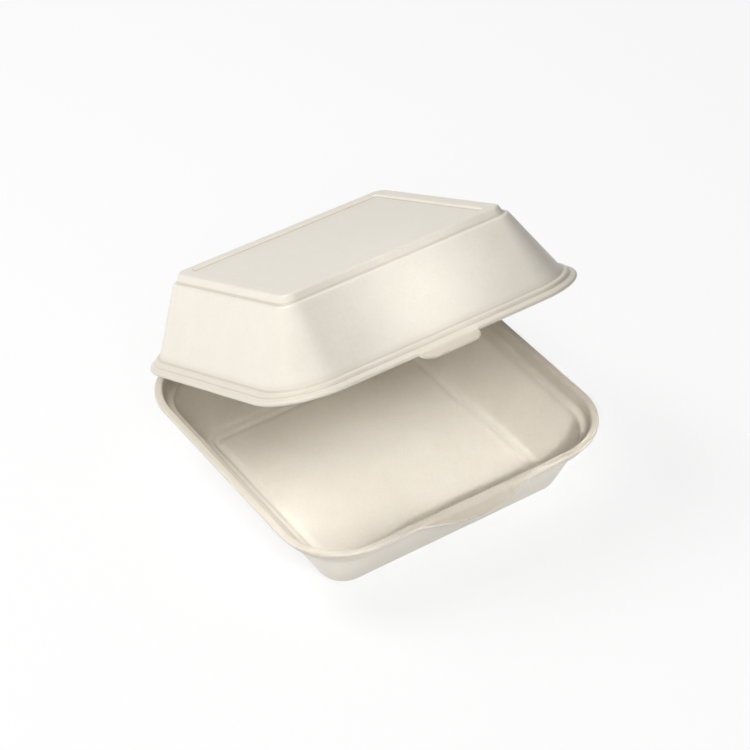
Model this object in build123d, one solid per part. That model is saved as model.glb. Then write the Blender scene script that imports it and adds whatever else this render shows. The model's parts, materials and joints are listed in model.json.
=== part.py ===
from build123d import *
import os
from math import atan2, cos, degrees, hypot, radians, tan

# Foam clamshell food box: a square tray and its lid, pressed from foam sheet and joined by a thin
# pressed hinge along the back rim. Millimetres, +Z up, front towards -Y, hinge at the back (+Y).
# The origin is the centre of the tray's base. The lid is drawn shut and then turned open.

# Overall sizes
width = 152.0
depth = 152.0
foam = 1.8
core_corner = 1.0
lip_round_share = 0.45
shared_side_share = 0.48
free_side_share = 0.98

# Tray section, from the rim edge inwards and down
tray_height = 34.5
tray_rim_width = 3.5
tray_riser_lean = 1.2
tray_riser_drop = 5.1
tray_ledge_width = 3.1
tray_ledge_fall = 0.8
tray_wall_spread = 12.8
tray_rim_bend = 1.1
tray_ledge_root_bend = 1.3
tray_ledge_bend = 1.5
floor_bend = 5.0

# Border of the tray's floor: a narrow ledge at the wall's foot, and a groove pressed inside it
foot_ledge_width = 2.7
foot_ledge_fall = 0.4
groove_depth = 1.1
groove_fall = 1.3
groove_width = 0.6
groove_rise = 2.4
groove_run = 0.8
foot_bend = 3.0

# Lid section, from the rim edge inwards and up
lid_edge_inset = 0.4
lid_lip_width = 2.9
lid_lip_fall = 1.2
lid_step_lean = 0.5
lid_step_rise = 1.5
lid_ledge_width = 2.0
lid_ledge_rise = 0.2
lid_wall_spread = 15.0
lid_wall_rise = 29.2
lid_shoulder_width = 1.8
lid_shoulder_rise = 0.3
lid_riser_lean = 1.5
lid_riser_rise = 3.5
lid_border_run = 1.8
lid_step_bend = 1.1
lid_foot_bend = 1.3
lid_shoulder_bend = 2.6
lid_riser_foot_bend = 1.4
lid_border_bend = 1.2

# Top panel of the lid, sunk inside a flat border
panel_border = 5.5
panel_drop = 1.0
panel_lean = 0.8
panel_corner = 2.2

# Hinge strip, pressed thin along the straight of the back rim
hinge_reach = 4.2
hinge_thickness = 0.9
hinge_gap = 0.3
hinge_end_corner = 3.0
closing_gap = 0.3
open_angle = 26.6

# Front tabs: a wide lens-shaped tab on the tray, with a pocket that takes the lid's small tab
tab_width = 53.0
tab_reach = 6.0
tab_droop = 12.0
pocket_width = 32.0
lid_tab_width = 27.0
lid_tab_reach = 5.2
lid_tab_tip = 1.3
lid_tab_crest = 0.6
lid_tab_corner = 5.4
tab_root = 1.6
cut_overrun = 5.0


def walk(start, *steps):
    """Points reached from a start by steps of inset and height."""
    points = [start]
    for inset, rise in steps:
        points.append((points[-1][0] + inset, points[-1][1] + rise))
    return points


# Lines of the top surface, as inset from the rim outline and height
wall_drop = tray_height - tray_riser_drop - tray_ledge_fall - foam
foot_drop = wall_drop - foot_ledge_fall
foot_spread = tray_wall_spread * foot_drop / wall_drop
tray_rim_line = walk(
    (0, tray_height),
    (tray_rim_width, 0),
    (tray_riser_lean, -tray_riser_drop),
    (tray_ledge_width, -tray_ledge_fall),
)
tray_rim_bends = [tray_rim_bend, tray_ledge_root_bend, tray_ledge_bend]
tray_line = tray_rim_line + walk(
    tray_rim_line[-1],
    (foot_spread, -foot_drop),
    (foot_ledge_width, -foot_ledge_fall),
    (groove_fall, -groove_depth),
    (groove_width, 0),
    (groove_rise, groove_depth),
    (groove_run, 0),
)[1:]
tray_groove_bends = [0, 0, 0, 0]
tray_bends = tray_rim_bends + [foot_bend] + tray_groove_bends
floor_margin = tray_line[-1][0] - tray_rim_line[-1][0] - tray_wall_spread
tray_core_line = tray_rim_line + walk(
    tray_rim_line[-1],
    (tray_wall_spread, -wall_drop),
    (floor_margin, 0),
)[1:]
tray_core_bends = tray_rim_bends + [floor_bend]

lid_face = tray_height + closing_gap
lid_lip_tilt = atan2(lid_lip_fall, lid_lip_width)
lid_lip_height = lid_face + foam * cos(lid_lip_tilt)
lid_line = walk(
    (lid_edge_inset, lid_lip_height),
    (lid_lip_width, lid_lip_fall),
    (lid_step_lean, lid_step_rise),
    (lid_ledge_width, lid_ledge_rise),
    (lid_wall_spread, lid_wall_rise),
    (lid_shoulder_width, lid_shoulder_rise),
    (lid_riser_lean, lid_riser_rise),
    (lid_border_run, 0),
)
lid_bends = [0, lid_step_bend, lid_foot_bend, lid_shoulder_bend, lid_riser_foot_bend, lid_border_bend]

# Places that both halves share
tray_floor_inset = tray_line[-1][0]
lid_border_inset, lid_border_height = lid_line[-1]
corner_radius = max(tray_floor_inset, lid_border_inset) + core_corner
panel_inset = lid_line[-2][0] + panel_border
panel_slope = degrees(atan2(panel_lean, panel_drop))
panel_bend_reach = foam * tan(radians(90 - panel_slope) / 2)
half_run_x = width / 2 - corner_radius
half_run_y = depth / 2 - corner_radius
hinge_y = depth / 2 + hinge_reach
hinge_z = tray_height + closing_gap / 2
front_y = -depth / 2
pocket_y = front_y + tray_rim_width
droop_slope = tan(radians(tab_droop))


def underside(line, bends):
    """The line one sheet thickness below a top-surface line, with the bends that keep the thickness."""
    directions = []
    for start, end in zip(line, line[1:]):
        run, rise = start[0] - end[0], end[1] - start[1]
        directions.append((run / hypot(run, rise), rise / hypot(run, rise)))
    normals = [(-rise, run) for run, rise in directions]
    points = [(line[0][0] - foam * normals[0][0], line[0][1] + foam * normals[0][1])]
    under_bends = []
    for index, bend in enumerate(bends):
        before, after = normals[index], normals[index + 1]
        reach = foam / (1 + before[0] * after[0] + before[1] * after[1])
        inset, height = line[index + 1]
        points.append((inset - reach * (before[0] + after[0]), height + reach * (before[1] + after[1])))
        run, rise = directions[index]
        turns_down = run * directions[index + 1][1] > rise * directions[index + 1][0]
        under_bends.append(max(bend - foam, 0) if turns_down else bend + foam)
    points.append((line[-1][0] - foam * normals[-1][0], line[-1][1] + foam * normals[-1][1]))
    return points, under_bends


def fitted(points, radii):
    """Bend radii of a closed outline, each limited to what its two sides have room for."""
    limited = []
    for index, radius in enumerate(radii):
        following = (index + 1) % len(points)
        corner = Vector(*points[index])
        sides = [(Vector(*points[near]) - corner, radii[near]) for near in (index - 1, following)]
        half_turn = radians(180 - sides[0][0].get_angle(sides[1][0])) / 2
        rooms = [side.length * (shared_side_share if other else free_side_share) for side, other in sides]
        limited.append(min(radius, min(rooms) / tan(half_turn)))
    return limited


def sheet_section(top_line, top_bends, core_line, core_bends):
    """Closed section of the sheet between its top line and the underside of its core line."""
    under, under_bends = underside(core_line, core_bends)
    lip_round = foam * lip_round_share
    points = [(corner_radius - inset, height) for inset, height in top_line + under[::-1]]
    radii = [lip_round, *top_bends, 0, 0, *under_bends[::-1], lip_round]
    return make_face(Plane.XZ * FilletPolyline(*points, radius=fitted(points, radii), close=True))


def carry_round(section):
    """Carry a section round the rim outline: four quarter turns and four straight runs."""
    centres = [
        (half_run_x, half_run_y),
        (-half_run_x, half_run_y),
        (-half_run_x, -half_run_y),
        (half_run_x, -half_run_y),
    ]
    lengths = [2 * half_run_y, 2 * half_run_x, 2 * half_run_y, 2 * half_run_x]
    pieces = []
    for turn, (centre, length) in enumerate(zip(centres, lengths)):
        place = Pos(*centre) * Rot(0, 0, 90 * turn)
        pieces.append(place * revolve(section, Axis.Z, 90))
        pieces.append(place * extrude(section, amount=length, dir=(0, -1, 0)))
    return pieces


def plate(inset, top):
    """Flat middle of a half, one sheet thick, that closes the ring at an inset."""
    outline = RectangleRounded(width - 2 * inset, depth - 2 * inset, corner_radius - inset)
    return Pos(0, 0, top - foam) * extrude(outline, amount=foam)


def hinge_strip(start_y, low):
    """Thin pressed strip from the back rim to the hinge line, with rounded outer corners."""
    reach = hinge_y - hinge_gap / 2 - start_y
    outline = Pos(0, start_y + reach / 2) * Rectangle(2 * half_run_x, reach)
    outline = fillet(outline.vertices().group_by(Axis.Y)[-1], hinge_end_corner)
    return Pos(0, 0, low) * extrude(outline, amount=hinge_thickness)


def across(points, span):
    """Prism of a side outline of Y and Z points, centred across X."""
    outline = make_face(Plane.YZ * Polyline(*points, close=True))
    return extrude(outline, amount=span / 2, both=True)


def tray_tab():
    """Lens-shaped front tab: level over the rim, then drooping, with an arc for its front edge."""
    tip_y = front_y - tab_reach
    tip_z = tray_height - tab_reach * droop_slope
    root_y = front_y + tab_root
    side = [
        (root_y, tray_height),
        (front_y, tray_height),
        (tip_y, tip_z),
        (tip_y, tip_z - foam),
        (front_y, tray_height - foam),
        (root_y, tray_height - foam),
    ]
    edge = ThreePointArc((-tab_width / 2, front_y), (0, tip_y), (tab_width / 2, front_y))
    back = Polyline(edge @ 1, (tab_width / 2, root_y), (-tab_width / 2, root_y), edge @ 0)
    plan = extrude(make_face([edge, back]), amount=2 * cut_overrun)
    return across(side, tab_width) & Pos(0, 0, tray_height - cut_overrun) * plan


def tab_pocket():
    """Shallow wedge cut from the rim and tab, where the lid's tab lies when shut."""
    end_y = front_y - tab_reach - cut_overrun
    end_z = tray_height - (pocket_y - end_y) * droop_slope
    top_z = tray_height + cut_overrun
    side = [(pocket_y, tray_height), (end_y, end_z), (end_y, top_z), (pocket_y, top_z)]
    return across(side, pocket_width)


def lid_tab():
    """Small rounded tab that falls from the lid's front lip, along the pocket with the closing gap."""
    lip_y = front_y + lid_edge_inset
    root_y = lip_y + tab_root
    tip_y = front_y - lid_tab_reach
    root_z = tray_height - (pocket_y - root_y) * droop_slope + closing_gap
    tip_z = tray_height - (pocket_y - tip_y) * droop_slope + closing_gap
    side = [
        (root_y, root_z),
        (tip_y, tip_z),
        (tip_y, tip_z + lid_tab_tip),
        (lip_y + lid_tab_crest, lid_lip_height),
        (root_y, lid_lip_height),
    ]
    length = root_y - tip_y
    plan = Pos(0, root_y - length / 2) * Rectangle(lid_tab_width, length)
    plan = fillet(plan.vertices().group_by(Axis.Y)[0], lid_tab_corner)
    plan = extrude(plan, amount=2 * cut_overrun)
    return across(side, lid_tab_width) & Pos(0, 0, lid_face - cut_overrun) * plan


def panel_block(spread, top):
    """Shallow tapered block of the sunk panel, grown by a spread on every side, down from a height."""
    panel_width = width - 2 * (panel_inset - spread)
    panel_depth = depth - 2 * (panel_inset - spread)
    outline = RectangleRounded(panel_width, panel_depth, panel_corner + spread)
    return extrude(Pos(0, 0, top) * outline, amount=panel_drop, dir=(0, 0, -1), taper=panel_slope)


def make_tray():
    """Tray: stepped rim, drafted walls, grooved floor, hinge strip and pocketed front tab."""
    section = sheet_section(tray_line, tray_bends, tray_core_line, tray_core_bends)
    pieces = carry_round(section)
    pieces.append(plate(tray_floor_inset, foam))
    pieces.append(hinge_strip(depth / 2 - foam, tray_height - hinge_thickness))
    pieces.append(tray_tab())
    return pieces[0].fuse(*pieces[1:]) - tab_pocket()


def make_lid():
    """Lid: stepped rim, drafted walls, sunk top panel, hinge strip and front tab, turned open."""
    section = sheet_section(lid_line, lid_bends, lid_line, lid_bends)
    pieces = carry_round(section)
    pieces.append(plate(lid_border_inset, lid_border_height))
    pieces.append(panel_block(panel_bend_reach, lid_border_height - foam))
    pieces.append(hinge_strip(depth / 2 - lid_edge_inset - foam, lid_face))
    pieces.append(lid_tab())
    shut = pieces[0].fuse(*pieces[1:]) - panel_block(0, lid_border_height)
    return shut.rotate(Axis((0, hinge_y, hinge_z), (1, 0, 0)), -open_angle)


os.makedirs("parts", exist_ok=True)
for name, solid in {"tray": make_tray(), "lid": make_lid()}.items():
    solid.label = name
    export_step(solid, f"parts/{name}.step")
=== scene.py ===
import json
from math import radians

import bpy
import numpy as np
from bpy.props import FloatProperty, FloatVectorProperty, IntProperty, PointerProperty
from bpy.types import Operator, Panel, PropertyGroup
from mathutils import Matrix


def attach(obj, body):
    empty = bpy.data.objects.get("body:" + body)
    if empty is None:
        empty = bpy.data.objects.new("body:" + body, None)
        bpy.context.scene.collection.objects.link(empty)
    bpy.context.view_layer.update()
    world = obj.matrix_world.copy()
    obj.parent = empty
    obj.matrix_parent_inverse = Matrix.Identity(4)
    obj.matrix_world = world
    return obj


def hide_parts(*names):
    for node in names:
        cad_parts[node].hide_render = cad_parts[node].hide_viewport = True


bl_info = {
    "name": "Foam clamshell box",
    "version": (1, 0, 0),
    "blender": (4, 5, 0),
    "location": "View3D > Sidebar > Clamshell",
    "description": "Builds a pressed foam takeaway box with a hinged lid, and a studio round it",
    "category": "Object",
}

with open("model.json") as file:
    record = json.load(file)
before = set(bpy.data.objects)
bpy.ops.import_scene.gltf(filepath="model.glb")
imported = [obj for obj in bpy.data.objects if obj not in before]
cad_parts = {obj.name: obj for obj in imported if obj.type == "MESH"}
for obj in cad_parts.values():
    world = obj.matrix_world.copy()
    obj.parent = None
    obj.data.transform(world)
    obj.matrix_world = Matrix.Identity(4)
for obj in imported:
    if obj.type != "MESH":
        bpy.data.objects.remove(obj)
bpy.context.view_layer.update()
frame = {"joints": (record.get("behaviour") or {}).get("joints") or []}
lid_joint = frame["joints"][0]
hinge_point = np.array(lid_joint["pos_m"])

# Room that a bend may take of a side shared with another bend, and of a free side
shared_side_share = 0.48
free_side_share = 0.96

# Tabs: how far the lens fades out, and the part of the lid's lip that sinks with its tab
lens_fade_share = 1.25
sunk_lip_share = 1 / 3
quarter_divisions = 40

# Hinge roll: rings along it, and the power that makes its ends blunt
roll_rings = 24
roll_end_power = 8

# Slow ripples: four waves in radians per metre along x, y and z with their starts, and the pairs' shares
ripple_waves = np.array([(131, 0, 0, 1.3), (0, 117, 90, 0.4), (253, -171, 0, 2.1), (0, 61, 208, 0)])
ripple_shares = (0.6, 0.4)

# Foam texture: spans of the raw values that count, swing of the roughness, and relief left when pressed
cell_span = (0.0, 0.8)
mottle_span = (0.35, 0.65)
swing_span = (0.3, 0.7)
roughness_swing = 0.05
pressed_relief_share = 0.35
foam_ior = 1.45

# Lamps: name, place, aim, setting of the power, and settings of the area light
lamps = (
    ("key_softbox", (-0.345, -0.741, 0.786), (0, 0, 0.05), "key_power", {"size": 0.45}),
    ("top_softbox", (-0.45, 0.4, 0.95), (0, 0, 0.1), "top_power", {"size": 0.5}),
    ("side_softbox", (-0.84, 0, 0.42), (0, 0, 0.08), "side_power", {"size": 0.5}),
    (
        "wall_light",
        (-0.06, -0.319, 0.396),
        (0.002, -0.039, 0.116),
        "wall_power",
        {"shape": "DISK", "size": 0.03, "spread": radians(11)},
    ),
    (
        "tray_strip",
        (-0.06, -0.353, 0.334),
        (0, -0.072, 0.056),
        "tray_power",
        {"shape": "RECTANGLE", "size": 0.16, "size_y": 0.045, "spread": radians(9)},
    ),
)
sensor_width = 36.0
near_clip = 0.01


# Properties

def length(name, default, description):
    """A length in metres that a user may change."""
    return FloatProperty(name=name, description=description, default=default, unit="LENGTH", precision=5)


def share(name, default, description):
    """A share of a whole, from 0 to 1."""
    return FloatProperty(name=name, description=description, default=default, min=0, max=1, subtype="FACTOR")


def colour(name, default, description):
    """A plain colour."""
    return FloatVectorProperty(
        name=name, description=description, default=default, min=0, max=1, subtype="COLOR"
    )


def angle(name, degrees, description):
    """An angle, given in degrees."""
    return FloatProperty(name=name, description=description, default=radians(degrees), subtype="ANGLE")


def whole(name, default, description):
    """A whole number of divisions."""
    return IntProperty(name=name, description=description, default=default, min=1)


def plain(name, default, description):
    """A plain number."""
    return FloatProperty(name=name, description=description, default=default)


def power(name, default, description):
    """A lamp's power in watts."""
    return FloatProperty(name=name, description=description, default=default, min=0, unit="POWER")


class SheetSizes(PropertyGroup):
    """Sizes that both halves of the box share."""

    width: length("Rim width", 0.152, "Width of the tray's rim, along the hinge")
    depth: length("Rim depth", 0.152, "Depth of the tray's rim, front to back")
    corner: length("Rim corner", 0.0292, "Corner radius of the rim outline")
    core_corner: length("Core corner", 0.0016, "Least corner radius of the rings inside the rim")
    foam: length("Foam", 0.0018, "Thickness of the foam sheet")
    closing_gap: length("Closing gap", 0.0003, "Gap between the two rims when the box is shut")
    least_bend: length("Least bend", 0.0003, "Tightest inside bend of the sheet")
    wall_bow: length("Wall bow", 0.0004, "How far the middle of each wall bows outwards")
    panel_crown: length("Panel crown", 0.00025, "How far the middle of each flat panel rises")
    unevenness: length("Unevenness", 0.00006, "Height of the sheet's slow ripples")
    ripple_start: length("Ripple start", 0.002, "Height above the table over which the ripples set in")
    open_angle: angle("Open angle", 26.6, "Angle of the lid from shut")


class TraySizes(PropertyGroup):
    """Section of the tray, from the rim edge inwards and down."""

    height: length("Height", 0.0345, "Height of the rim above the table")
    rim_width: length("Rim width", 0.0035, "Width of the flat rim")
    riser_lean: length("Riser lean", 0.0012, "How far the riser under the rim leans inwards")
    riser_drop: length("Riser drop", 0.0051, "Height of the riser under the rim")
    ledge_width: length("Ledge width", 0.0031, "Width of the ledge below the riser")
    ledge_fall: length("Ledge fall", 0.0008, "Fall of the ledge towards the wall")
    wall_spread: length("Wall spread", 0.0128, "How far the wall leans inwards down to the floor")
    foot_ledge_width: length("Foot ledge width", 0.0027, "Width of the ledge at the wall's foot")
    foot_ledge_fall: length("Foot ledge fall", 0.0004, "Fall of the ledge at the wall's foot")
    groove_depth: length("Groove depth", 0.0011, "Depth of the groove round the floor")
    groove_fall: length("Groove fall", 0.0013, "Width of the groove's outer side")
    groove_width: length("Groove width", 0.0006, "Width of the groove's bottom")
    groove_rise: length("Groove rise", 0.0024, "Width of the groove's inner side")
    groove_run: length("Groove run", 0.0008, "Flat width between the groove and the floor panel")
    rim_bend: length("Rim bend", 0.0011, "Bend at the rim's inner edge")
    ledge_root_bend: length("Ledge root bend", 0.0013, "Bend where the riser meets the ledge")
    ledge_bend: length("Ledge bend", 0.0015, "Bend at the top of the wall")
    foot_bend: length("Foot bend", 0.0030, "Bend at the wall's foot")
    groove_edge_bend: length("Groove edge bend", 0.0008, "Bend at the groove's outer edge")
    groove_bend: length("Groove bend", 0.0006, "Bends in the groove's bottom")
    groove_rise_bend: length("Groove rise bend", 0.0020, "Bend at the groove's inner edge")
    base_bend: length("Base bend", 0.0050, "Bend that the base edge follows, before the sheet's thickness")


class LidSizes(PropertyGroup):
    """Section of the lid, from the rim edge inwards and up."""

    edge_inset: length("Edge inset", 0.0004, "How far the lid's lip stands back from the tray's")
    lip_width: length("Lip width", 0.0029, "Width of the lip")
    lip_fall: length("Lip fall", 0.0012, "Fall of the lip towards its edge")
    step_lean: length("Step lean", 0.0005, "How far the lip's step leans inwards")
    step_rise: length("Step rise", 0.0015, "Height of the lip's step")
    ledge_width: length("Ledge width", 0.0020, "Width of the ledge above the step")
    ledge_rise: length("Ledge rise", 0.0002, "Rise of the ledge towards the wall")
    wall_spread: length("Wall spread", 0.0150, "How far the wall leans inwards")
    wall_rise: length("Wall rise", 0.0292, "Height of the wall")
    shoulder_width: length("Shoulder width", 0.0018, "Width of the shoulder above the wall")
    shoulder_rise: length("Shoulder rise", 0.0003, "Rise of the shoulder")
    riser_lean: length("Riser lean", 0.0015, "How far the riser above the shoulder leans inwards")
    riser_rise: length("Riser rise", 0.0035, "Height of the riser above the shoulder")
    border: length("Border", 0.0055, "Width of the flat border round the sunk top panel")
    panel_lean: length("Panel lean", 0.0008, "How far the sunk panel's side leans inwards")
    panel_drop: length("Panel drop", 0.0010, "Depth of the sunk panel")
    panel_run: length("Panel run", 0.0020, "Flat width of the sunk panel that still follows its outline")
    step_root_bend: length("Step root bend", 0.0006, "Bend at the foot of the lip's step")
    step_bend: length("Step bend", 0.0011, "Bend at the top of the lip's step")
    foot_bend: length("Foot bend", 0.0013, "Bend at the wall's foot")
    shoulder_bend: length("Shoulder bend", 0.0026, "Bend at the top of the wall")
    riser_foot_bend: length("Riser foot bend", 0.0014, "Bend at the foot of the riser")
    border_bend: length("Border bend", 0.0012, "Bend at the border's outer edge")
    panel_bend: length("Panel bend", 0.0006, "Bends at the top and foot of the sunk panel's side")


class TabSizes(PropertyGroup):
    """Sizes of the front tabs and of the hinge strips."""

    lens_width: length("Tray tab width", 0.053, "Width of the tray's lens-shaped tab")
    lens_reach: length("Tray tab reach", 0.006, "How far the tray's tab stands out")
    lens_ease: length("Tray tab ease", 0.0008, "Softening where the tray's tab leaves the rim")
    droop_slope: plain("Droop slope", 0.21256, "Fall of the tabs per length outwards")
    pocket_width: length("Pocket width", 0.032, "Width of the pocket for the lid's tab")
    pocket_side: length("Pocket side", 0.0008, "Width of the pocket's sloping sides")
    lid_tab_width: length("Lid tab width", 0.027, "Width of the lid's tab")
    lid_tab_reach: length("Lid tab reach", 0.0052, "How far the lid's tab stands out past the tray's rim")
    lid_tab_corner: length("Lid tab corner", 0.0054, "Corner radius of the lid's tab")
    lid_tab_start: length("Lid tab start", 0.0010, "Inset at which the lid's tab starts to fall")
    lid_tab_tip: length("Lid tab tip", 0.0013, "Thickness of the lid's tab at its tip")
    root_round: length("Root round", 0.0008, "Hollow radius where a tab or strip leaves its lip")
    hinge_strip: length("Hinge strip", 0.0009, "Thickness of the pressed hinge strips")
    hinge_corner: length("Hinge corner", 0.0030, "Corner radius of the hinge strips")
    hinge_gap: length("Hinge gap", 0.0003, "Gap between the two strips on the hinge line")
    hinge_roll: length("Hinge roll", 0.00033, "Radius of the creased foam on the hinge line")
    thinning_run: length("Thinning run", 0.0012, "Length over which the foam thins into a strip")


class MeshDetail(PropertyGroup):
    """How finely the surfaces are divided."""

    bend_step: angle("Bend step", 13, "Turn of one division in a bend")
    corner_divisions: whole("Corner divisions", 30, "Divisions in each rim corner")
    side_divisions: whole("Side divisions", 36, "Divisions in a plain side")
    tab_divisions: whole("Tab divisions", 110, "Divisions along a tab or strip")
    panel_divisions: whole("Panel divisions", 12, "Rings in a flat panel")
    nose_divisions: whole("Nose divisions", 8, "Divisions round the rim's edge")
    roll_divisions: whole("Roll divisions", 16, "Divisions round the hinge roll")
    rim_run: length("Rim run", 0.00035, "Longest division across the rims")
    edge_run: length("Edge run", 0.0007, "Longest division across the groove, shoulder and border")
    wall_run: length("Wall run", 0.0022, "Longest division down the walls")


class FoamLook(PropertyGroup):
    """Colours and grain of the foam, with the painted shade of the lid's hollow bends."""

    skin: colour("Skin", (0.80, 0.745, 0.65), "Colour of the foam's skin")
    pale: colour("Pale cells", (0.86, 0.815, 0.725), "Colour of the paler cells")
    # The pressed colour goes on the pressed tabs and hinge strips, on a darker band along the rims, and as
    # painted shade in the lid's hollow bends.
    pressed: colour("Pressed foam", (0.60, 0.545, 0.455), "Colour where the foam is pressed dense")
    # Press fade: width over which the darker band along the rims fades into the walls.
    press_fade: length("Press fade", 0.0015, "Width over which the pressed rims fade into the walls")
    # Crease reach: hollow bends of the lid tighter than this get the full painted shade in the pressed
    # colour.
    crease_shade_reach: length("Crease reach", 0.0012, "Hollow bends tighter than this look fully pressed")
    rim_share: share("Rim share", 0.6, "How far the tray's rim takes the pressed colour")
    lip_share: share("Lip share", 0.4, "How far the lid's lip takes the pressed colour")
    tab_share: share("Tab share", 0.9, "How far the tabs and hinge strips take the pressed colour")
    # Crease shade share: how far the lid's hollow bends take painted shade in the pressed colour.
    crease_shade_share: share("Crease share", 0.9, "How far the lid's hollow bends take the pressed colour")
    cell_scale: plain("Cells per metre", 800, "Fineness of the foam's cells")
    grain_scale: plain("Grain per metre", 1600, "Fineness of the skin's grain")
    mottle_scale: plain("Mottle per metre", 70, "Fineness of the slow mottling")
    cell_share: share("Cell share", 0.45, "How far the cells take the paler colour")
    mottle_share: share("Mottle share", 0.35, "How far the mottling takes the paler colour")
    grain_share: share("Grain share", 0.6, "Height of the grain against that of the cells")
    roughness: share("Roughness", 0.34, "Roughness of the satin skin")
    grain_height: length("Grain height", 0.00004, "Height of the cells and grain")
    grain_strength: share("Grain strength", 0.6, "Strength of the cells and grain in the light")


class StageLook(PropertyGroup):
    """Camera, lights and floor."""

    focal_length: FloatProperty(
        name="Focal length", description="Focal length of the camera", default=128.41, unit="CAMERA"
    )
    azimuth: angle("Azimuth", -31.397, "Camera's angle round the box")
    elevation: angle("Elevation", 39.648, "Camera's angle above the table")
    roll: angle("Roll", -2.6265, "Camera's roll")
    distance: length("Distance", 0.98598, "Distance from the camera to its target")
    target: FloatVectorProperty(
        name="Target",
        description="Point that the camera looks at",
        default=(-0.05344, -0.08925, 0.13498),
        unit="LENGTH",
    )
    floor_size: length("Floor size", 6.0, "Side of the square floor")
    floor_sink: length("Floor sink", 0.0001, "How far the floor lies below the box's base")
    floor_colour: colour("Floor colour", (0.93, 0.93, 0.93), "Colour of the floor")
    floor_glow: share("Floor glow", 0.82, "Share of plain white in the floor that the camera sees")
    sky_strength: plain("Sky strength", 0.15, "Strength of the even light")
    key_power: power("Key power", 4.2, "Power of the softbox beside the camera")
    top_power: power("Top power", 8.2, "Power of the softbox above and behind")
    side_power: power("Side power", 0.7, "Power of the softbox on the left")
    wall_power: power("Wall power", 0.0026, "Power of the narrow light on the lid's front wall")
    tray_power: power("Tray power", 0.023, "Power of the strip light into the tray")


# Section lines

def walk(start, *steps):
    """Points reached from a start by steps of inset and height, as rows of an array."""
    return np.cumsum(np.array([start, *steps], float), axis=0)


def unit(vectors):
    """Vectors of length one along the last axis."""
    return vectors / np.linalg.norm(vectors, axis=-1, keepdims=True)


def under_line(line, bends, foam, least_bend):
    """Line one sheet thickness under a line: each corner moves along the sum of its two normals, and a bend
    that turns towards the underside loses the thickness, while any other gains it."""
    ways = unit(np.diff(line, axis=0))
    normals = np.stack([ways[:, 1], -ways[:, 0]], axis=1)
    before = normals[:-1]
    after = normals[1:]
    reach = foam / (1 + (before * after).sum(axis=1, keepdims=True))
    inner = line[1:-1] + reach * (before + after)
    points = np.vstack([line[:1] + foam * normals[:1], inner, line[-1:] + foam * normals[-1:]])
    turns = ways[:-1, 0] * ways[1:, 1] - ways[:-1, 1] * ways[1:, 0]
    bends = np.asarray(bends)
    return points, np.where(turns < 0, np.maximum(bends - foam, least_bend), bends + foam)


def bent(points, bends, bend_step, runs):
    """Line through points with an arc of the given bend at each inner corner. An arc of radius r that
    turns by a starts r * tan(a / 2) before its corner. Straight runs are divided so that no part is longer
    than its run."""
    ways = unit(np.diff(points, axis=0))
    lengths = np.linalg.norm(np.diff(points, axis=0), axis=1)
    cosines = np.clip((ways[:-1] * ways[1:]).sum(axis=1), -1, 1)
    turns = np.arccos(cosines)
    room = np.minimum(lengths[:-1], lengths[1:]) * shared_side_share
    room[0] = min(lengths[0] * free_side_share, lengths[1] * shared_side_share)
    room[-1] = min(lengths[-2] * shared_side_share, lengths[-1] * free_side_share)
    cuts = np.minimum(np.asarray(bends) * np.tan(turns / 2), room)
    starts = np.vstack([points[:1], points[1:-1] + ways[1:] * cuts[:, None]])
    ends = np.vstack([points[1:-1] - ways[:-1] * cuts[:, None], points[-1:]])
    parts = []
    for index in range(len(ways)):
        run = np.linalg.norm(ends[index] - starts[index])
        count = max(1, int(np.ceil(run / runs[index])))
        along = np.linspace(0, 1, count + 1)[:, None]
        parts.append(starts[index] + (ends[index] - starts[index]) * along)
        if index < len(turns):
            corner = points[index + 1]
            parts.append(arc_points(ends[index], corner, starts[index + 1], turns[index], bend_step))
    return np.vstack(parts)


def arc_points(start, corner, end, turn, bend_step):
    """Inner points of the arc that leaves start and reaches end, both tangent towards the corner: the
    weighted quadratic curve with the corner's weight cos(turn / 2), which is a true arc."""
    count = max(2, int(np.ceil(turn / bend_step)))
    along = np.linspace(0, 1, count + 1)[1:-1, None]
    weight = np.cos(turn / 2)
    first = (1 - along) ** 2
    middle = 2 * along * (1 - along) * weight
    last = along**2
    return (first * start + middle * corner + last * end) / (first + middle + last)


def sheet_rows(top, under, divisions):
    """Rows of a sheet's section, from the inner end of its top line out to the rim, round the half-round nose
    and back along its underside: inset, height, and how near the top each row is (1 on top, 0 underneath).
    The nose is a half circle on the line between the two outer ends."""
    turn = np.linspace(np.pi / 2, -np.pi / 2, divisions + 1)[1:-1, None]
    rise = (top[0] - under[0]) / 2
    out = np.array([-rise[1], rise[0]])
    nose = (top[0] + under[0]) / 2 + rise * np.sin(turn) + out * np.cos(turn)
    points = np.vstack([top[::-1], nose, under])
    round_share = (1 + np.sin(turn[:, 0])) / 2
    nearness = np.concatenate([np.ones(len(top)), round_share, np.zeros(len(under))])
    return points[:, 0], points[:, 1], nearness


# Plan path

def lens_edge(tab, count):
    """Edge of the lens tab: stations across it, no slide, and how far each stands out from the chord of a
    circular arc, with a soft start: (a + sqrt(a^2 + ease^2)) / 2 in place of a."""
    half = tab.lens_width / 2
    spread = half * lens_fade_share
    across = np.linspace(-spread, spread, count)
    radius = (half**2 + tab.lens_reach**2) / (2 * tab.lens_reach)
    rise = np.sqrt(radius**2 - across**2) - (radius - tab.lens_reach)
    out = (rise + np.sqrt(rise**2 + tab.lens_ease**2)) / 2
    fade = np.clip((spread - np.abs(across)) / (spread - half), 0, 1)
    return across, np.zeros(count), np.minimum(out, tab.lens_reach) * smooth(fade)


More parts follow.
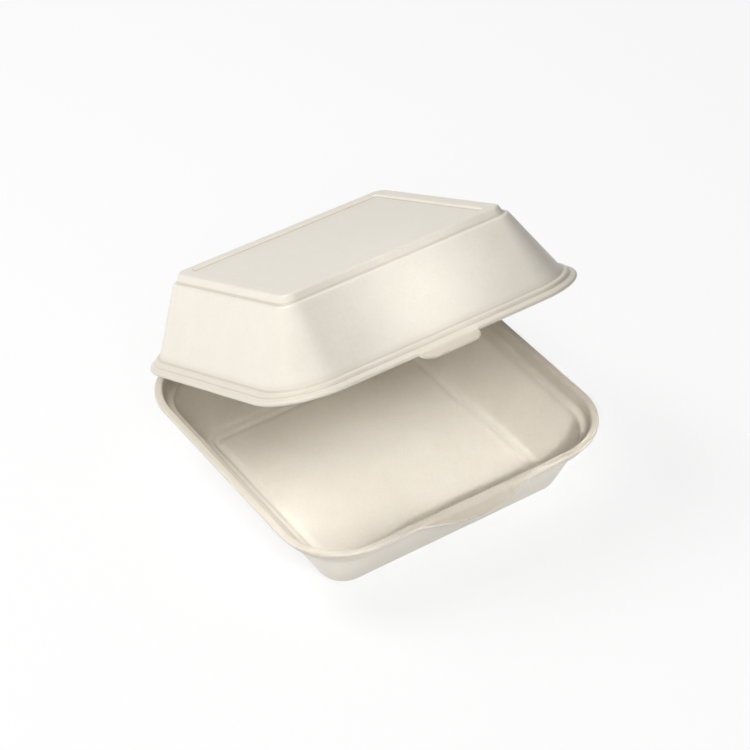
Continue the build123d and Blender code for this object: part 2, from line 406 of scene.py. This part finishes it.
def pill_edge(width, reach, corner, root, count):
    """Edge of a tab with rounded corners and hollow roots: the outline is divided evenly, its stations on the
    lip are spread evenly too, and slide and out carry each station from the lip to the outline."""
    half = width / 2
    corner = min(corner, reach - root)
    quarter = np.linspace(0, np.pi / 2, quarter_divisions)
    rise = np.sin(quarter)
    fall = 1 - np.cos(quarter)
    hollow = np.stack([-half - root + root * rise, root * fall], axis=1)
    turn = np.stack([-half + corner * fall, reach - corner + corner * rise], axis=1)
    left = np.vstack([hollow, turn])
    outline = np.vstack([left, left[::-1] * np.array([-1, 1])])
    walked = np.concatenate([[0], np.cumsum(np.linalg.norm(np.diff(outline, axis=0), axis=1))])
    even = np.linspace(0, walked[-1], count)
    x = np.interp(even, walked, outline[:, 0])
    out = np.interp(even, walked, outline[:, 1])
    across = np.linspace(-half - root, half + root, count)
    return across, x - across, out


def smooth(value):
    """Smooth step of a value between 0 and 1."""
    value = np.clip(value, 0, 1)
    return value * value * (3 - 2 * value)


def rim_path(sheet, detail, front, back):
    """Stations round the rim, anticlockwise from the front left. A station's point at inset i lies at
    centre + normal * (corner - i), and its lip is carried along the rim by slide and outwards by out."""
    half_x = sheet.width / 2 - sheet.corner
    half_y = sheet.depth / 2 - sheet.corner
    stations = []
    for side in range(4):
        half_along, half_across = (half_x, half_y) if side % 2 == 0 else (half_y, half_x)
        normal = np.array([(0, -1), (1, 0), (0, 1), (-1, 0)][side], float)
        tangent = np.array([-normal[1], normal[0]])
        along, slide, out = side_stations(half_along, detail, {0: front, 2: back}.get(side))
        centres = tangent * along[:, None] + normal * half_across
        normals = np.tile(normal, (len(along), 1))
        sides = np.full(len(along), float(side))
        halves = np.full(len(along), half_along)
        stations.append(np.column_stack([centres, normals, along, slide, out, sides, halves]))
        turn = np.linspace(0, np.pi / 2, detail.corner_divisions + 1)[1:-1, None]
        normals = np.cos(turn) * normal + np.sin(turn) * tangent
        centres = np.tile(tangent * half_along + normal * half_across, (len(turn), 1))
        rest = np.zeros((len(turn), 5))
        rest[:, 3] = -1
        rest[:, 4] = half_along
        stations.append(np.column_stack([centres, normals, rest]))
    table = np.vstack(stations)
    keys = ("x", "y", "nx", "ny", "along", "slide", "out", "side", "half")
    return {key: table[:, index] for index, key in enumerate(keys)}


def side_stations(half, detail, tab):
    """Stations along one straight side, with those of its tab in the middle."""
    if tab is None:
        along = np.linspace(-half, half, detail.side_divisions + 1)
        return along, np.zeros_like(along), np.zeros_like(along)
    across, slide, out = tab
    reach = min(across[-1], half)
    count = max(2, int(np.ceil((half - reach) / (2 * half) * detail.side_divisions)))
    lead = np.linspace(-half, -reach, count + 1)[:-1] if reach < half else np.zeros(0)
    zeros = np.zeros(len(lead))
    return (
        np.concatenate([lead, across, -lead[::-1]]),
        np.concatenate([zeros, slide, zeros]),
        np.concatenate([zeros, out, zeros]),
    )


# Meshes

def shell_points(path, sheet, inset, height, shift):
    """Points of a grid of section rows by path stations: centre + normal * (corner - inset) + tangent *
    shift. Where the corner is used up, the least corner stays and the centres draw in instead."""
    out = np.maximum(sheet.corner - inset, sheet.core_corner)
    drawn_in = np.maximum(inset - (sheet.corner - sheet.core_corner), 0)
    half_x = sheet.width / 2 - sheet.corner
    half_y = sheet.depth / 2 - sheet.corner
    x = path["x"] * (1 - drawn_in / half_x) + path["nx"] * out - path["ny"] * shift
    y = path["y"] * (1 - drawn_in / half_y) + path["ny"] * out + path["nx"] * shift
    return np.stack([x, y, height], axis=-1)


def panel_rows(ring, crown, count):
    """Rings of a flat panel, from its middle to a ring of the shell: the ring shrunk by a share r, and raised
    by crown * (1 - r^2)^2."""
    shares = (np.arange(1, count) / count)[:, None, None]
    middle = np.array([0, 0, ring[:, 2].mean()])
    rows = middle + (ring[None] - middle) * shares
    rows[..., 2] += crown * (1 - shares[..., 0] ** 2) ** 2
    return rows, middle + np.array([0, 0, crown])


def closed_shell(name, rows, first_pole, last_pole):
    """Mesh object of a closed surface: rings of equal length joined by quads, with a fan at each end. Both
    poles are single points, and the rings run anticlockwise, so the faces point outwards."""
    count, stations = rows.shape[:2]
    points = np.vstack([rows.reshape(-1, 3), first_pole, last_pole])
    here = np.arange(stations)
    there = (here + 1) % stations
    base = (np.arange(count - 1) * stations)[:, None]
    quads = np.stack([base + here, base + stations + here, base + stations + there, base + there], axis=-1)
    first = np.stack([np.full(stations, count * stations), here, there], axis=-1)
    outer = (count - 1) * stations
    last = np.stack([np.full(stations, count * stations + 1), outer + there, outer + here], axis=-1)
    mesh = bpy.data.meshes.new(name)
    mesh.from_pydata(points, [], quads.reshape(-1, 4).tolist() + first.tolist() + last.tolist())
    mesh.shade_smooth()
    mesh.validate()
    made = bpy.data.objects.new(name, mesh)
    bpy.context.scene.collection.objects.link(made)
    return made


def mark_press_and_crease_shade(made, rows_share):
    """Stores the pressed mark at each point, from 0 to 1, with none at the two poles: pressed foam, darker
    rim bands, and painted shade in the lid's hollow bends.
    """
    values = np.concatenate([rows_share.ravel(), np.zeros(2)]).astype(np.float32)
    made.data.attributes.new("pressed", "FLOAT", "POINT").data.foreach_set("value", values)


def hollows(inset, height, reach):
    """How hollow the section is at each row, from 0 on flat or crowned parts to 1: minus the turn per length,
    times a reach."""
    steps = np.diff(np.column_stack([inset, height]), axis=0)
    lengths = np.linalg.norm(steps, axis=1)
    ways = steps / lengths[:, None]
    turns = np.arcsin(np.clip(ways[:-1, 0] * ways[1:, 1] - ways[:-1, 1] * ways[1:, 0], -1, 1))
    curve = -2 * turns / (lengths[:-1] + lengths[1:])
    return np.concatenate([[0], np.clip(curve * reach, 0, 1), [0]])


def rim_darkening(inset, rim_end, rim_share, look):
    """How far each section row takes the darker pressed colour: a share on the rim, fading to 0 beyond the
    rim's end.
    """
    return rim_share * smooth((rim_end + look.press_fade - inset) / look.press_fade)


def rippled(grid, sheet):
    """Grid with the slow ripples added to its height, fading to none at the rows that stand on the table. The
    ripples are two products of sine waves, and lie between -1 and 0 times the unevenness."""
    waves = np.sin(grid @ ripple_waves[:, :3].T + ripple_waves[:, 3])
    first = ripple_shares[0] * waves[..., 0] * waves[..., 1]
    second = ripple_shares[1] * waves[..., 2] * waves[..., 3]
    lifted = grid.copy()
    lifted[..., 2] += sheet.unevenness * (first + second - 1) / 2 * smooth(grid[..., 2] / sheet.ripple_start)
    return lifted


def bowed(path, height, low, high, bow):
    """Outward bow of the walls: most at mid height and mid side, none at the corners and edges."""
    level = np.clip((height - low) / (high - low), 0, 1)
    across = np.clip(1 - (path["along"] / path["half"]) ** 2, 0, 1) * (path["side"] >= 0)
    return bow * np.sin(np.pi * level) * across


def about_hinge(points, turn):
    """Points turned open about the hinge line: y and z turn about the hinge point, front upwards."""
    turned = points.copy()
    y = points[..., 1] - hinge_point[1]
    z = points[..., 2] - hinge_point[2]
    turned[..., 1] = hinge_point[1] + y * np.cos(turn) + z * np.sin(turn)
    turned[..., 2] = hinge_point[2] - y * np.sin(turn) + z * np.cos(turn)
    return turned


# Halves of the box

def tray_sections(sheet, tray, detail):
    """Top line and underside of the tray's section, with its rounded bends."""
    wall_drop = tray.height - tray.riser_drop - tray.ledge_fall - sheet.foam
    foot_drop = wall_drop - tray.foot_ledge_fall
    rim = [
        (sheet.foam / 2, tray.height),
        (tray.rim_width - sheet.foam / 2, 0),
        (tray.riser_lean, -tray.riser_drop),
        (tray.ledge_width, -tray.ledge_fall),
    ]
    line = walk(
        *rim,
        (tray.wall_spread * foot_drop / wall_drop, -foot_drop),
        (tray.foot_ledge_width, -tray.foot_ledge_fall),
        (tray.groove_fall, -tray.groove_depth),
        (tray.groove_width, 0),
        (tray.groove_rise, tray.groove_depth),
        (tray.groove_run, 0),
    )
    rim_bends = [tray.rim_bend, tray.ledge_root_bend, tray.ledge_bend]
    groove_bends = [tray.groove_edge_bend, tray.groove_bend, tray.groove_bend, tray.groove_rise_bend]
    rim_reach = sheet.foam / 2 + sum(step[0] for step in rim[1:])
    core = walk(*rim, (tray.wall_spread, -wall_drop), (line[-1, 0] - rim_reach - tray.wall_spread, 0))
    runs = [detail.rim_run] * 3 + [detail.wall_run] + [detail.edge_run] * 5
    top = bent(line, rim_bends + [tray.foot_bend] + groove_bends, detail.bend_step, runs)
    under, under_bends = under_line(core, rim_bends + [tray.base_bend], sheet.foam, sheet.least_bend)
    under_runs = [detail.rim_run] * 3 + [detail.wall_run] * 2
    return top, bent(under, under_bends, detail.bend_step, under_runs)


def lid_lip(sheet, tray, lid):
    """Places of the shut lid's falling lip: its face over the tray's rim, its slope, the height of its top
    edge, and the step along it that the round nose takes up."""
    face = tray.height + sheet.closing_gap
    slope = lid.lip_fall / lid.lip_width
    way = unit(np.array([lid.lip_width, lid.lip_fall]))
    return {"face": face, "slope": slope, "height": face + sheet.foam * way[0], "round": way * sheet.foam / 2}


def lid_sections(sheet, tray, lid, detail):
    """Top line and underside of the shut lid's section, with its rounded bends."""
    lip = lid_lip(sheet, tray, lid)
    line = walk(
        (lid.edge_inset + lip["round"][0], lip["height"] + lip["round"][1]),
        (lid.lip_width - lip["round"][0], lid.lip_fall - lip["round"][1]),
        (lid.step_lean, lid.step_rise),
        (lid.ledge_width, lid.ledge_rise),
        (lid.wall_spread, lid.wall_rise),
        (lid.shoulder_width, lid.shoulder_rise),
        (lid.riser_lean, lid.riser_rise),
        (lid.border, 0),
        (lid.panel_lean, -lid.panel_drop),
        (lid.panel_run, 0),
    )
    foot_bends = [lid.step_root_bend, lid.step_bend, lid.foot_bend, lid.shoulder_bend, lid.riser_foot_bend]
    bends = foot_bends + [lid.border_bend, lid.panel_bend, lid.panel_bend]
    runs = [detail.rim_run] * 3 + [detail.wall_run] + [detail.edge_run] * 5
    top = bent(line, bends, detail.bend_step, runs)
    under, under_bends = under_line(line, bends, sheet.foam, sheet.least_bend)
    return top, bent(under, under_bends, detail.bend_step, runs)


def lip_weight(inset, nearness, edge, top_root, under_root):
    """How far each section row goes with the lip: 1 on the nose, falling to 0 at the root insets of the top
    and of the underside."""
    root = np.where(nearness == 0, under_root, top_root)
    along = np.clip((root - inset) / (root - edge), 0, 1)
    return np.where((nearness > 0) & (nearness < 1), 1.0, along)[:, None]


def build_tray():
    """Tray shell: the section carried round the rim, with the lens tab, its pocket and the hinge strip as
    carried lip rows. A row of inset i moves out to i - out * weight, and falls by the droop slope beyond the
    rim line."""
    scene = bpy.context.scene
    sheet, tray, tab = scene.clamshell_sheet, scene.clamshell_tray, scene.clamshell_tab
    detail, look = scene.clamshell_detail, scene.clamshell_foam
    top, under = tray_sections(sheet, tray, detail)
    inset, height, nearness = sheet_rows(top, under, detail.nose_divisions)
    strip_reach = hinge_point[1] - sheet.depth / 2 - tab.hinge_gap / 2
    strip_width = sheet.width - 2 * sheet.corner - 2 * tab.root_round
    path = rim_path(
        sheet,
        detail,
        lens_edge(tab, detail.tab_divisions),
        pill_edge(strip_width, strip_reach, tab.hinge_corner, tab.root_round, detail.tab_divisions),
    )
    radius = sheet.foam / 2
    weight = lip_weight(inset, nearness, radius, tray.rim_width, 2 * radius)
    moved = inset[:, None] - path["out"] * weight
    front = path["side"] == 0
    back = path["side"] == 2
    along = np.abs(path["along"])
    pocket = smooth((tab.pocket_width / 2 + tab.pocket_side / 2 - along) / tab.pocket_side) * front
    beyond = np.maximum(0, -moved)
    into_pocket = np.maximum(0, tray.rim_width - moved) * (weight > 0)
    top_fall = tab.droop_slope * front * (beyond + (into_pocket - beyond) * pocket)
    thinning = (sheet.foam - tab.hinge_strip) * smooth(beyond / tab.thinning_run) * back
    under_fall = tab.droop_slope * front * beyond - thinning
    near = nearness[:, None]
    level = height[:, None] - near * top_fall - (1 - near) * under_fall
    moved = moved - bowed(path, level, sheet.foam, tray.height - tray.riser_drop, sheet.wall_bow)
    rows = shell_points(path, sheet, moved, level, path["slide"] * weight)
    inner, inner_pole = panel_rows(rows[0], sheet.panel_crown, detail.panel_divisions)
    outer, outer_pole = panel_rows(rows[-1], sheet.panel_crown, detail.panel_divisions)
    grid = np.concatenate([inner, rows, outer[::-1]])
    made = closed_shell("tray_shell", rippled(grid, sheet), inner_pole, outer_pole)
    rim_end = tray.rim_width + tray.riser_lean + tray.ledge_width
    flat = smooth(beyond / tab.thinning_run) * (front | back)
    thin = np.maximum(flat * look.tab_share, rim_darkening(inset, rim_end, look.rim_share, look)[:, None])
    blank = np.zeros(inner.shape[:2])
    mark_press_and_crease_shade(made, np.concatenate([blank, thin, blank]))
    return made


def build_lid():
    """Lid shell: its section carried round the rim, with the small front tab and the hinge strip as carried
    lip rows. The tab's top falls evenly from the lip to its tip, and its underside follows the tray's
    pocket."""
    scene = bpy.context.scene
    sheet, tray, lid = scene.clamshell_sheet, scene.clamshell_tray, scene.clamshell_lid
    tab, detail, look = scene.clamshell_tab, scene.clamshell_detail, scene.clamshell_foam
    top, under = lid_sections(sheet, tray, lid, detail)
    inset, height, nearness = sheet_rows(top, under, detail.nose_divisions)
    lip = lid_lip(sheet, tray, lid)
    face = lip["face"]
    strip_reach = hinge_point[1] - sheet.depth / 2 - tab.hinge_gap / 2 + lid.edge_inset
    strip_width = sheet.width - 2 * sheet.corner - 2 * tab.root_round
    tab_reach = tab.lid_tab_reach + lid.edge_inset
    path = rim_path(
        sheet,
        detail,
        pill_edge(tab.lid_tab_width, tab_reach, tab.lid_tab_corner, tab.root_round, detail.tab_divisions),
        pill_edge(strip_width, strip_reach, tab.hinge_corner, tab.root_round, detail.tab_divisions),
    )
    weight = lip_weight(inset, nearness, top[0, 0], lid.lip_width, lid.lip_width)
    moved = inset[:, None] - path["out"] * weight
    front = path["side"] == 0
    back = path["side"] == 2
    near = nearness[:, None]
    reach = np.abs(path["along"] + path["slide"])
    in_tab = smooth((tab.lid_tab_width / 2 + tab.root_round - reach) / tab.root_round) * front
    lip_top = lip["height"] + lip["slope"] * (inset[:, None] - lid.edge_inset)
    lip_under = lip_top - (lip["height"] - face) * (1 + lip["slope"] ** 2)
    crest = lip["height"] + lip["slope"] * (tab.lid_tab_start - lid.edge_inset)
    tip = face - tab.droop_slope * (tray.rim_width + tab.lid_tab_reach) + tab.lid_tab_tip
    top_slope = (crest - tip) / (tab.lid_tab_start + tab.lid_tab_reach)
    tab_top = np.minimum(lip_top, crest - top_slope * (tab.lid_tab_start - moved))
    tab_under = face - tab.droop_slope * (tray.rim_width - moved)
    beyond = np.maximum(0, lid.edge_inset - moved)
    in_strip = smooth(beyond / tab.thinning_run) * back
    sunk = smooth(weight / sunk_lip_share)
    strip_top = face + tab.hinge_strip
    top_move = (tab_top - lip_top) * in_tab * (weight > 0) + (strip_top - lip_top) * in_strip
    under_move = (tab_under - lip_under) * in_tab * sunk + (face - lip_under) * in_strip
    level = height[:, None] + near * top_move + (1 - near) * under_move
    wall_low = face + sheet.foam + lid.lip_fall + lid.step_rise
    moved = moved - bowed(path, level, wall_low, wall_low + lid.wall_rise, sheet.wall_bow)
    rows = shell_points(path, sheet, moved, level, path["slide"] * weight)
    outer, outer_pole = panel_rows(rows[0], sheet.panel_crown, detail.panel_divisions)
    inner, inner_pole = panel_rows(rows[-1], sheet.panel_crown, detail.panel_divisions)
    grid = rippled(np.concatenate([outer, rows, inner[::-1]]), sheet)
    turned = [about_hinge(part, sheet.open_angle) for part in (grid, outer_pole, inner_pole)]
    made = closed_shell("lid_shell", *turned)
    lip_end = lid.edge_inset + lid.lip_width + lid.step_lean + lid.ledge_width
    flat = smooth(beyond / tab.thinning_run) * (front | back)
    # Painted shade: the lid's hollow bends take the pressed colour, darkening the creases where shade falls;
    # the lip takes a darker band of it.
    creased = look.crease_shade_share * hollows(inset, height, look.crease_shade_reach)
    lip_band_and_crease_shade = np.maximum(rim_darkening(inset, lip_end, look.lip_share, look), creased)
    thin = np.maximum(flat * look.tab_share, lip_band_and_crease_shade[:, None])
    blank = np.zeros(outer.shape[:2])
    mark_press_and_crease_shade(made, np.concatenate([blank, thin, blank]))
    return made


def build_hinge_roll():
    """Creased foam on the hinge line: a slim closed roll along X, a circle of radius r carried between two
    blunt ends: at the share s of its length the radius is r * sqrt(1 - s^p), with p the end power."""
    scene = bpy.context.scene
    sheet, tab, detail = scene.clamshell_sheet, scene.clamshell_tab, scene.clamshell_detail
    half = sheet.width / 2 - sheet.corner - tab.hinge_corner
    shares = np.sin(np.linspace(-np.pi / 2, np.pi / 2, roll_rings + 2)[1:-1])
    radius = tab.hinge_roll * np.sqrt(1 - shares**roll_end_power)
    turn = np.linspace(0, 2 * np.pi, detail.roll_divisions, endpoint=False)
    x = np.repeat((half * shares)[:, None], len(turn), axis=1)
    y = hinge_point[1] + radius[:, None] * np.cos(turn)
    z = hinge_point[2] + radius[:, None] * np.sin(turn)
    rows = np.stack([x, y, z], axis=-1)[:, ::-1]
    first = np.array([-half, hinge_point[1], hinge_point[2]])
    last = np.array([half, hinge_point[1], hinge_point[2]])
    made = closed_shell("hinge_roll", rows, first, last)
    mark_press_and_crease_shade(made, np.ones(rows.shape[:2]))
    return made


# Materials

def node(tree, kind, inputs=None, **values):
    """Node with its plain values and its input sockets set, or linked where the input is another socket."""
    made = tree.nodes.new(kind)
    for key, value in values.items():
        setattr(made, key, value)
    for key, value in (inputs or {}).items():
        if isinstance(value, bpy.types.NodeSocket):
            tree.links.new(value, made.inputs[key])
        else:
            made.inputs[key].default_value = value
    return made


def math_node(tree, operation, *values):
    """Result of a math node on given values or sockets."""
    return node(tree, "ShaderNodeMath", dict(enumerate(values)), operation=operation).outputs[0]


def map_node(tree, value, span, result):
    """Value carried from one span to another, and held within it."""
    ends = {"From Min": span[0], "From Max": span[1], "To Min": result[0], "To Max": result[1]}
    return node(tree, "ShaderNodeMapRange", {"Value": value, **ends}).outputs["Result"]


def mix_node(tree, factor, first, second):
    """Mix of two colours."""
    inputs = {"Factor": factor, 6: first, 7: second}
    return node(tree, "ShaderNodeMix", inputs, data_type="RGBA").outputs[2]


def foam_cells_group():
    """Foam skin as a node group: small cells, a fine grain and a slow mottling, put out as a colour, a
    roughness and a height. Its pressed colour also paints shade into the lid's hollow bends."""
    tree = bpy.data.node_groups.new("Foam cells", "ShaderNodeTree")
    colours = ("Skin", "Pale", "Pressed Colour")
    numbers = ("Pressed", "Cell Scale", "Grain Scale", "Mottle Scale", "Roughness")
    shares = ("Cell Share", "Mottle Share", "Grain Share")
    for name in colours:
        tree.interface.new_socket(name=name, in_out="INPUT", socket_type="NodeSocketColor")
    for name in numbers + shares:
        tree.interface.new_socket(name=name, in_out="INPUT", socket_type="NodeSocketFloat")
    tree.interface.new_socket(name="Colour", in_out="OUTPUT", socket_type="NodeSocketColor")
    tree.interface.new_socket(name="Surface Roughness", in_out="OUTPUT", socket_type="NodeSocketFloat")
    tree.interface.new_socket(name="Height", in_out="OUTPUT", socket_type="NodeSocketFloat")
    given = tree.nodes.new("NodeGroupInput").outputs
    place = tree.nodes.new("ShaderNodeTexCoord").outputs["Object"]
    cells = node(
        tree, "ShaderNodeTexVoronoi", {"Vector": place, "Scale": given["Cell Scale"]}, feature="SMOOTH_F1"
    )
    grain = node(tree, "ShaderNodeTexNoise", {"Vector": place, "Scale": given["Grain Scale"], "Detail": 2.0})
    mottle = node(
        tree,
        "ShaderNodeTexNoise",
        {"Vector": place, "Scale": given["Mottle Scale"], "Detail": 4.0, "Roughness": 0.6},
    )
    cell = map_node(tree, cells.outputs["Distance"], cell_span, (1.0, 0.0))
    mottling = map_node(tree, mottle.outputs["Fac"], mottle_span, (0.0, 1.0))
    cell_part = math_node(tree, "MULTIPLY", cell, given["Cell Share"])
    pale = math_node(tree, "MULTIPLY_ADD", mottling, given["Mottle Share"], cell_part)
    speckled = mix_node(tree, pale, given["Skin"], given["Pale"])
    swing = map_node(tree, mottle.outputs["Fac"], swing_span, (-roughness_swing, roughness_swing))
    relief = math_node(tree, "MULTIPLY_ADD", grain.outputs["Fac"], given["Grain Share"], cell)
    left = map_node(tree, given["Pressed"], (0.0, 1.0), (1.0, pressed_relief_share))
    # The pressed colour mixed in here also paints shade into the lid's hollow bends.
    results = {
        "Colour": mix_node(tree, given["Pressed"], speckled, given["Pressed Colour"]),
        "Surface Roughness": math_node(tree, "ADD", given["Roughness"], swing),
        "Height": math_node(tree, "MULTIPLY", relief, left),
    }
    node(tree, "NodeGroupOutput", results)
    return tree


def foam_material():
    """Satin foam: the cells group drives colour, roughness and a fine bump on a plain shader."""
    found = bpy.data.materials.get("satin_foam")
    if found:
        return found
    look = bpy.context.scene.clamshell_foam
    made = bpy.data.materials.new("satin_foam")
    made.use_nodes = True
    tree = made.node_tree
    tree.nodes.clear()
    # The pressed attribute holds pressed foam, darker rim bands, and painted shade in the lid's hollow bends.
    pressed = node(tree, "ShaderNodeAttribute", attribute_name="pressed")
    cells = node(tree, "ShaderNodeGroup", node_tree=foam_cells_group())
    values = {
        "Skin": (*look.skin, 1.0),
        "Pale": (*look.pale, 1.0),
        "Pressed Colour": (*look.pressed, 1.0),
        "Cell Scale": look.cell_scale,
        "Grain Scale": look.grain_scale,
        "Mottle Scale": look.mottle_scale,
        "Roughness": look.roughness,
        "Cell Share": look.cell_share,
        "Mottle Share": look.mottle_share,
        "Grain Share": look.grain_share,
    }
    for key, value in values.items():
        cells.inputs[key].default_value = value
    tree.links.new(pressed.outputs["Fac"], cells.inputs["Pressed"])
    bump = node(
        tree,
        "ShaderNodeBump",
        {
            "Height": cells.outputs["Height"],
            "Distance": look.grain_height,
            "Strength": look.grain_strength,
        },
    )
    shader = node(
        tree,
        "ShaderNodeBsdfPrincipled",
        {
            "Base Color": cells.outputs["Colour"],
            "Roughness": cells.outputs["Surface Roughness"],
            "Normal": bump.outputs["Normal"],
            "IOR": foam_ior,
        },
    )
    node(tree, "ShaderNodeOutputMaterial", {"Surface": shader.outputs["BSDF"]})
    return made


def finish_piece(made, body, replaced):
    """Gives a piece its material and sets it on its body of the frame."""
    made.data.materials.append(foam_material())
    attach(made, body)
    if replaced:
        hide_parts(replaced)


# Stage

def floor_material():
    """Pale floor: the camera, and what it sees mirrored or through something, sees it mixed with plain white.
    Every other ray meets a plain matt surface."""
    look = bpy.context.scene.clamshell_stage
    made = bpy.data.materials.new("stage_floor")
    made.use_nodes = True
    tree = made.node_tree
    tree.nodes.clear()
    rays = node(tree, "ShaderNodeLightPath").outputs
    seen = math_node(tree, "MAXIMUM", rays["Is Camera Ray"], rays["Is Glossy Ray"])
    seen = math_node(tree, "MAXIMUM", seen, rays["Is Transmission Ray"])
    glow = math_node(tree, "MULTIPLY", seen, look.floor_glow)
    matt = node(tree, "ShaderNodeBsdfDiffuse", {"Color": (*look.floor_colour, 1.0)}).outputs[0]
    white = node(tree, "ShaderNodeEmission", {"Color": (1, 1, 1, 1), "Strength": 1.0}).outputs[0]
    mixed = node(tree, "ShaderNodeMixShader", {0: glow, 1: matt, 2: white}).outputs[0]
    node(tree, "ShaderNodeOutputMaterial", {"Surface": mixed})
    return made


def build_floor():
    """Square floor just under the box."""
    look = bpy.context.scene.clamshell_stage
    half = look.floor_size / 2
    corners = np.array([(-half, -half, 0), (half, -half, 0), (half, half, 0), (-half, half, 0)])
    mesh = bpy.data.meshes.new("stage_floor")
    mesh.from_pydata(corners - (0, 0, look.floor_sink), [], [(0, 1, 2, 3)])
    made = bpy.data.objects.new("stage_floor", mesh)
    bpy.context.scene.collection.objects.link(made)
    made.data.materials.append(floor_material())


def build_sky():
    """Even white light, seen by the camera as plain white."""
    look = bpy.context.scene.clamshell_stage
    world = bpy.data.worlds.new("stage_sky")
    world.use_nodes = True
    tree = world.node_tree
    tree.nodes.clear()
    rays = node(tree, "ShaderNodeLightPath").outputs
    seen = math_node(tree, "MAXIMUM", rays["Is Camera Ray"], rays["Is Transmission Ray"])
    strength = map_node(tree, seen, (0.0, 1.0), (look.sky_strength, 1.0))
    glow = node(tree, "ShaderNodeBackground", {"Color": (1, 1, 1, 1), "Strength": strength}).outputs[0]
    node(tree, "ShaderNodeOutputWorld", {"Surface": glow})
    bpy.context.scene.world = world


def build_lamp(name, place, aim, watts, light_settings):
    """Area lamp at a place, turned to its aim, that the camera doesn't see."""
    light = bpy.data.lights.new(name, "AREA")
    light.energy = watts
    for key, value in light_settings.items():
        setattr(light, key, value)
    made = bpy.data.objects.new(name, light)
    bpy.context.scene.collection.objects.link(made)
    made.matrix_world = looking(place, unit(np.array(place) - np.array(aim)), 0.0)
    made.visible_camera = False


def looking(place, back, roll):
    """Matrix of a camera or lamp at a place whose back points along a direction, rolled about it."""
    right = unit(np.array([-back[1], back[0], 0.0]))
    up = np.cross(back, right)
    side = np.cos(roll) * right + np.sin(roll) * up
    rise = np.cos(roll) * up - np.sin(roll) * right
    columns = np.column_stack([side, rise, back, np.array(place)])
    return Matrix(np.vstack([columns, [0, 0, 0, 1]]).tolist())


def build_camera():
    """Camera on the line from its target, by azimuth and elevation, with its roll."""
    look = bpy.context.scene.clamshell_stage
    level = np.cos(look.elevation)
    back = np.array([np.sin(look.azimuth) * level, -np.cos(look.azimuth) * level, np.sin(look.elevation)])
    data = bpy.data.cameras.new("camera")
    data.lens = look.focal_length
    data.sensor_width = sensor_width
    data.clip_start = near_clip
    made = bpy.data.objects.new("camera", data)
    bpy.context.scene.collection.objects.link(made)
    made.matrix_world = looking(np.array(look.target) + back * look.distance, back, look.roll)
    bpy.context.scene.camera = made


# Operators

class CLAMSHELL_OT_tray(Operator):
    """Build the tray's shell"""

    bl_idname = "clamshell.tray"
    bl_label = "Tray"

    def execute(self, context):
        finish_piece(build_tray(), "tray", "tray")
        return {"FINISHED"}


class CLAMSHELL_OT_lid(Operator):
    """Build the lid's shell"""

    bl_idname = "clamshell.lid"
    bl_label = "Lid"

    def execute(self, context):
        finish_piece(build_lid(), "lid", "lid")
        return {"FINISHED"}


class CLAMSHELL_OT_hinge(Operator):
    """Build the creased foam on the hinge line"""

    bl_idname = "clamshell.hinge"
    bl_label = "Hinge crease"

    def execute(self, context):
        finish_piece(build_hinge_roll(), "tray", None)
        return {"FINISHED"}


class CLAMSHELL_OT_stage(Operator):
    """Build the floor, lights and camera"""

    bl_idname = "clamshell.stage"
    bl_label = "Stage"

    def execute(self, context):
        build_floor()
        build_sky()
        look = context.scene.clamshell_stage
        for name, place, aim, power_name, light_settings in lamps:
            build_lamp(name, place, aim, getattr(look, power_name), light_settings)
        build_camera()
        context.scene.view_settings.view_transform = "Standard"
        return {"FINISHED"}


class CLAMSHELL_PT_panel(Panel):
    """Sidebar panel of the box"""

    bl_idname = "CLAMSHELL_PT_panel"
    bl_label = "Foam clamshell box"
    bl_space_type = "VIEW_3D"
    bl_region_type = "UI"
    bl_category = "Clamshell"

    def draw(self, context):
        for operator in operators:
            self.layout.operator(operator.bl_idname)
        for name, group in groups.items():
            part = self.layout.box()
            part.label(text=group.__doc__)
            for key in group.__annotations__:
                part.prop(getattr(context.scene, name), key)


groups = {
    "clamshell_sheet": SheetSizes,
    "clamshell_tray": TraySizes,
    "clamshell_lid": LidSizes,
    "clamshell_tab": TabSizes,
    "clamshell_detail": MeshDetail,
    "clamshell_foam": FoamLook,
    "clamshell_stage": StageLook,
}
operators = (CLAMSHELL_OT_tray, CLAMSHELL_OT_lid, CLAMSHELL_OT_hinge, CLAMSHELL_OT_stage)


def register():
    """Registers the settings, the operators and the panel."""
    for name, group in groups.items():
        bpy.utils.register_class(group)
        setattr(bpy.types.Scene, name, PointerProperty(type=group))
    for operator in operators:
        bpy.utils.register_class(operator)
    bpy.utils.register_class(CLAMSHELL_PT_panel)


def unregister():
    """Takes the panel, the operators and the settings out again."""
    bpy.utils.unregister_class(CLAMSHELL_PT_panel)
    for operator in reversed(operators):
        bpy.utils.unregister_class(operator)
    for name, group in reversed(groups.items()):
        delattr(bpy.types.Scene, name)
        bpy.utils.unregister_class(group)


def main():
    """Builds the box and its stage."""
    register()
    bpy.ops.clamshell.tray()
    bpy.ops.clamshell.lid()
    bpy.ops.clamshell.hinge()
    bpy.ops.clamshell.stage()


if __name__ == "__main__":
    main()
